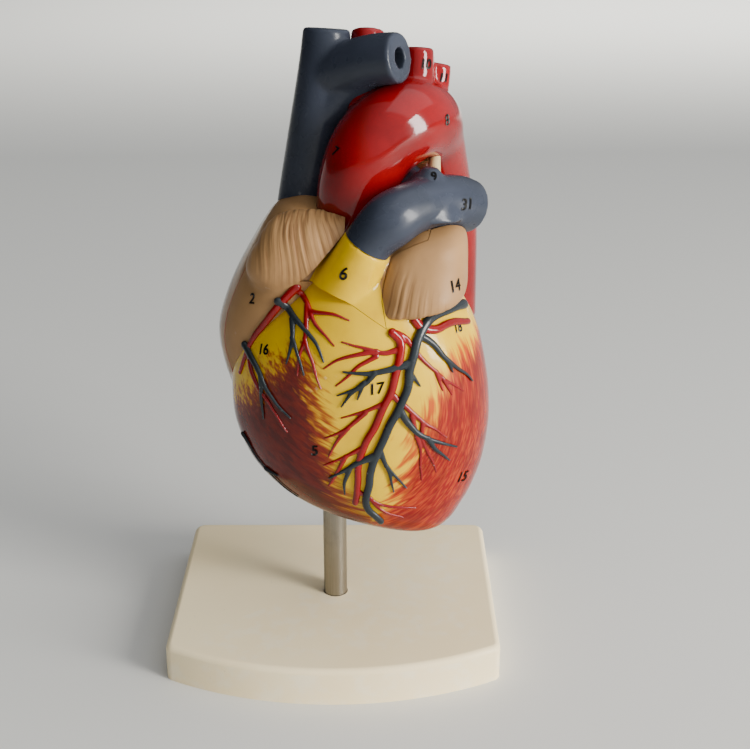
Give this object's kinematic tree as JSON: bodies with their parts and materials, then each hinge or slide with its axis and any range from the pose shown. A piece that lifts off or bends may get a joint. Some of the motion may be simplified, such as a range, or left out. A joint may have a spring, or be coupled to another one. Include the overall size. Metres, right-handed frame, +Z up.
{
  "type": "human heart anatomy model",
  "caption": "Life-size human heart teaching model whose front wall lifts off to show the chambers and valves, on a steel rod and a moulded base.",
  "frame": {"origin": "middle of the base's underside, on the rod's axis", "axes": "+Z up along the rod; +Y to the back of the heart, whose front wall slides off towards -Y; +X to the right seen from the front"},
  "size_m": [0.13, 0.117, 0.2422],
  "materials": {
    "base_ivory": "satin moulded plastic",
    "rod_steel": "drawn stainless",
    "screw_zinc": "zinc plated",
    "heart_muscle": "hand-painted muscle and fat, glossy lacquer",
    "artery_red": "glossy red paint",
    "vein_grey": "satin blue-grey paint",
    "auricle_tan": "satin tan paint over fine ribs",
    "lining_pink": "painted chamber lining",
    "valve_cream": "cream paint",
    "socket_cream": "bare moulded plastic",
    "magnet_nickel": "nickel plate"
  },
  "bodies": {
    "stand": {"base_plate": "base_ivory", "rod_screw": "screw_zinc", "rod_washer": "screw_zinc"},
    "rod": {"support_rod": "rod_steel"},
    "heart": {"back_wall": "heart_muscle", "rod_socket": "socket_cream", "aorta": "artery_red", "pulmonary_trunk": "vein_grey", "superior_vena_cava": "vein_grey", "inferior_vena_cava": "vein_grey", "right_upper_pulmonary_vein": "artery_red", "right_lower_pulmonary_vein": "artery_red", "left_upper_pulmonary_vein": "artery_red", "left_lower_pulmonary_vein": "artery_red", "ligamentum_arteriosum": "valve_cream", "front_papillary_muscle": "lining_pink", "back_papillary_muscle": "lining_pink", "right_papillary_muscle": "lining_pink", "mitral_valve": "valve_cream", "tricuspid_valve": "valve_cream", "aortic_valve": "valve_cream", "pulmonary_valve": "valve_cream", "back_magnet_1": "magnet_nickel", "back_magnet_2": "magnet_nickel", "back_magnet_3": "magnet_nickel", "coronary_sinus": "vein_grey", "back_interventricular_artery": "artery_red", "middle_cardiac_vein": "vein_grey"},
    "front": {"front_wall": "heart_muscle", "right_auricle": "auricle_tan", "left_auricle": "auricle_tan", "front_magnet_1": "magnet_nickel", "front_magnet_2": "magnet_nickel", "front_magnet_3": "magnet_nickel", "great_cardiac_vein": "vein_grey", "front_interventricular_artery": "artery_red", "circumflex_artery": "artery_red", "right_coronary_artery": "artery_red", "anterior_cardiac_veins": "vein_grey", "small_cardiac_vein": "vein_grey"}
  },
  "joints": [
    {"name": "heart_turn", "type": "hinge", "parent": "stand", "child": "rod", "pos_m": [0, 0, 0.015], "axis": [0, 0, 1], "continuous": true},
    {"name": "heart_lift", "type": "slide", "parent": "rod", "child": "heart", "axis": [0, 0, 1], "range_m": [0, 0.042]},
    {"name": "front_off", "type": "slide", "parent": "heart", "child": "front", "axis": [0, -1, 0], "range_m": [0, 0.09]}
  ]
}
